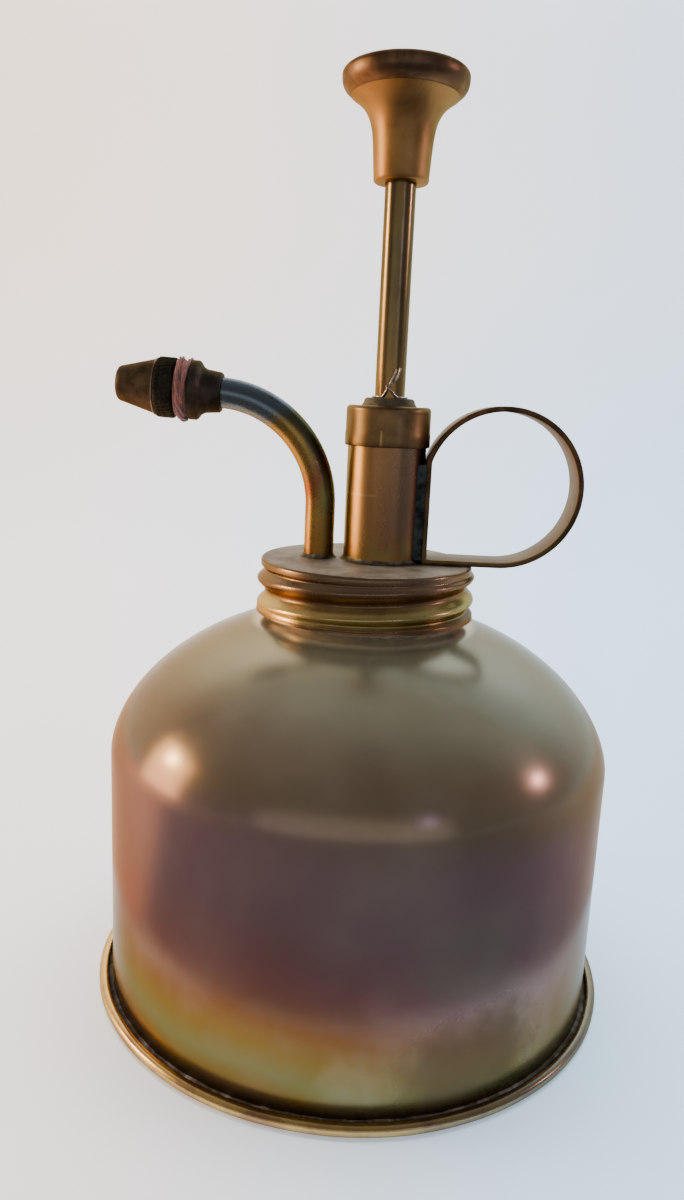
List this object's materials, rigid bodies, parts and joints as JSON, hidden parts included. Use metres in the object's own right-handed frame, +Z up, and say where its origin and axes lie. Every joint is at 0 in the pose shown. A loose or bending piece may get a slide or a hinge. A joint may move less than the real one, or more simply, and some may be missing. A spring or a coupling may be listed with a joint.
{
  "type": "plant mister",
  "caption": "Round-shouldered brass plant mister: spun bottle, screw lid with a plunger pump, bent spout with a screw nozzle, and a finger ring.",
  "frame": {"origin": "centre of the flat face the base pan stands on", "axes": "+Z up along the bottle; the spout points to -X and the finger ring to +X"},
  "size_m": [0.093, 0.093, 0.1564],
  "materials": {
    "spun_brass": "heat-tinted satin, unlacquered",
    "rim_brass": "rubbed satin",
    "lid_brass": "aged satin",
    "tube_brass": "heat-tinted satin",
    "rod_brass": "worn smooth",
    "knob_brass": "matte, handled",
    "disc_brass": "dark satin",
    "strip_brass": "dull, dusty inside",
    "black_brass": "blackened, turned",
    "inner_brass": "machined",
    "solder": "dull grey",
    "dark_solder": "heat-stained",
    "wire": "bright, fine",
    "steel": "polished",
    "twine": "frayed linen thread",
    "packing": "greased felt",
    "gasket": "matte",
    "leather": "oiled"
  },
  "bodies": {
    "bottle": {"bottle_shell": "spun_brass", "base_pan": "rim_brass", "base_seam": "solder"},
    "gasket": {"lid_gasket": "gasket"},
    "lid": {"lid_cap": "lid_brass", "pump_barrel": "tube_brass", "barrel_solder": "solder", "barrel_cap": "lid_brass", "gland_bush": "lid_brass", "gland_packing": "packing", "tie_wire": "wire", "finger_ring": "strip_brass", "ring_solder": "dark_solder", "spout_tube": "tube_brass", "spout_solder": "solder", "nozzle_socket": "black_brass", "swirl_core": "inner_brass", "sealing_twine": "twine", "return_spring": "steel", "valve_block": "inner_brass", "inlet_pin": "inner_brass", "outlet_pin": "inner_brass", "dip_tube": "inner_brass", "strainer": "inner_brass"},
    "washer": {"nozzle_washer": "gasket"},
    "nozzle": {"nozzle_cap": "black_brass"},
    "seat": {"spring_seat": "inner_brass"},
    "plunger": {"plunger_rod": "rod_brass", "knob_stem": "knob_brass", "knob_disc": "disc_brass", "piston_plate": "inner_brass", "cup_leather": "leather", "piston_nut": "inner_brass"},
    "inlet_valve": {"inlet_ball": "steel"},
    "outlet_valve": {"outlet_ball": "steel"}
  },
  "joints": [
    {"name": "lid_rise", "type": "slide", "parent": "bottle", "child": "gasket", "axis": [0, 0, 1], "range_m": [0, 0.0063]},
    {"name": "lid_turn", "type": "hinge", "parent": "gasket", "child": "lid", "pos_m": [0, 0, 0.07773], "axis": [0, 0, 1], "range_deg": [0, 541]},
    {"name": "plunger_press", "type": "slide", "parent": "lid", "child": "seat", "axis": [0, 0, -1], "range_m": [0, 0.028], "stiffness_N_per_m": 120, "springref_m": -0.03, "deforming": ["return_spring"]},
    {"name": "plunger_turn", "type": "hinge", "parent": "seat", "child": "plunger", "pos_m": [0.0026, 0, 0.07773], "axis": [0, 0, 1], "continuous": true},
    {"name": "nozzle_advance", "type": "slide", "parent": "lid", "child": "washer", "axis": [-0.9986, 0, 0.0523], "range_m": [0, 0.002]},
    {"name": "nozzle_turn", "type": "hinge", "parent": "washer", "child": "nozzle", "pos_m": [-0.02594, 0, 0.10513], "axis": [-0.9986, 0, 0.0523], "range_deg": [0, 721]},
    {"name": "inlet_lift", "type": "slide", "parent": "lid", "child": "inlet_valve", "axis": [0, 0, 1], "range_m": [0, 0.0012]},
    {"name": "outlet_lift", "type": "slide", "parent": "lid", "child": "outlet_valve", "axis": [0, 0, 1], "range_m": [0, 0.0012]}
  ],
  "couplings": [
    {"joint": "lid_turn", "follows": "lid_rise", "rad_per_m": 1496},
    {"joint": "nozzle_turn", "follows": "nozzle_advance", "rad_per_m": 6283.2}
  ]
}
